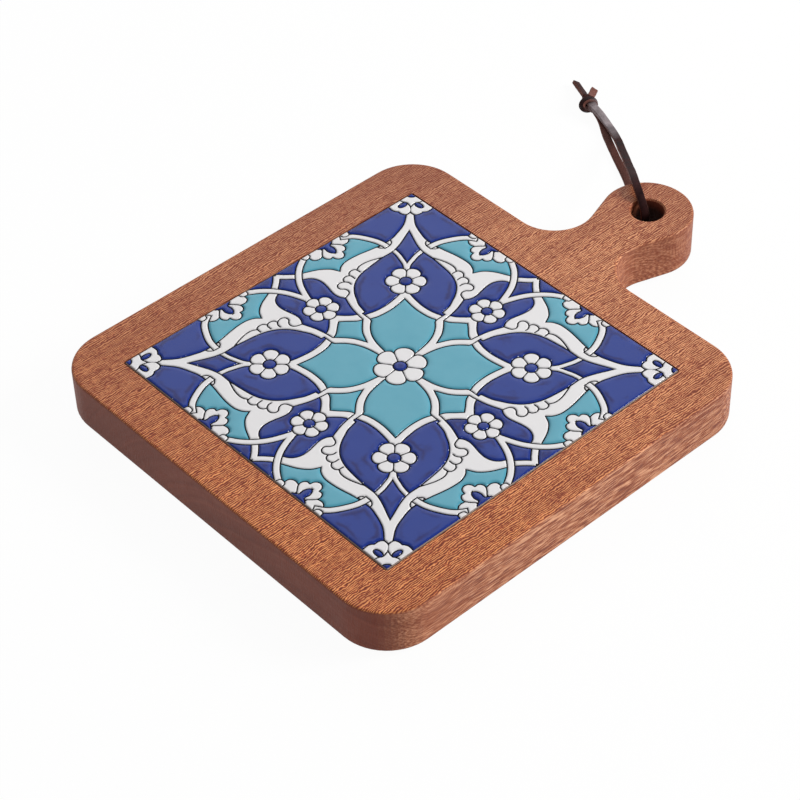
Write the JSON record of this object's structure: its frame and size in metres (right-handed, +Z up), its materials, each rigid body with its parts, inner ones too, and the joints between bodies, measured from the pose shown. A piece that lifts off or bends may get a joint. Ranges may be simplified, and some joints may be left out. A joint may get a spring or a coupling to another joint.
{
  "type": "trivet",
  "caption": "Wooden paddle board with an inlaid glazed tile, a round-ended handle with a hanging hole, low feet and a knotted leather lace.",
  "frame": {"origin": "centre of the board seen from above, at the bottom of the feet", "axes": "+X from the tiled body towards the tip of the handle, +Z up out of the tile's face"},
  "size_m": [0.2978, 0.1975, 0.0265],
  "materials": {
    "wood": "oiled, satin",
    "adhesive": "matt",
    "clay": "fired, matt",
    "outline": "fired print, satin",
    "white_glaze": "glossy",
    "cobalt_glaze": "glossy",
    "turquoise_glaze": "glossy",
    "foot_rubber": "matt",
    "leather": "waxed, satin"
  },
  "bodies": {
    "root": {"board": "wood", "adhesive_bed": "adhesive", "tile_body": "clay", "outline_print": "outline", "white_glaze": "white_glaze", "cobalt_glaze": "cobalt_glaze", "turquoise_glaze": "turquoise_glaze", "foot_back_left": "foot_rubber", "foot_back_right": "foot_rubber", "foot_front_left": "foot_rubber", "foot_front_right": "foot_rubber", "lace_over": "leather", "lace_under": "leather", "lace_knot": "leather", "lace_tail_long": "leather", "lace_tail_short": "leather"}
  },
  "joints": []
}
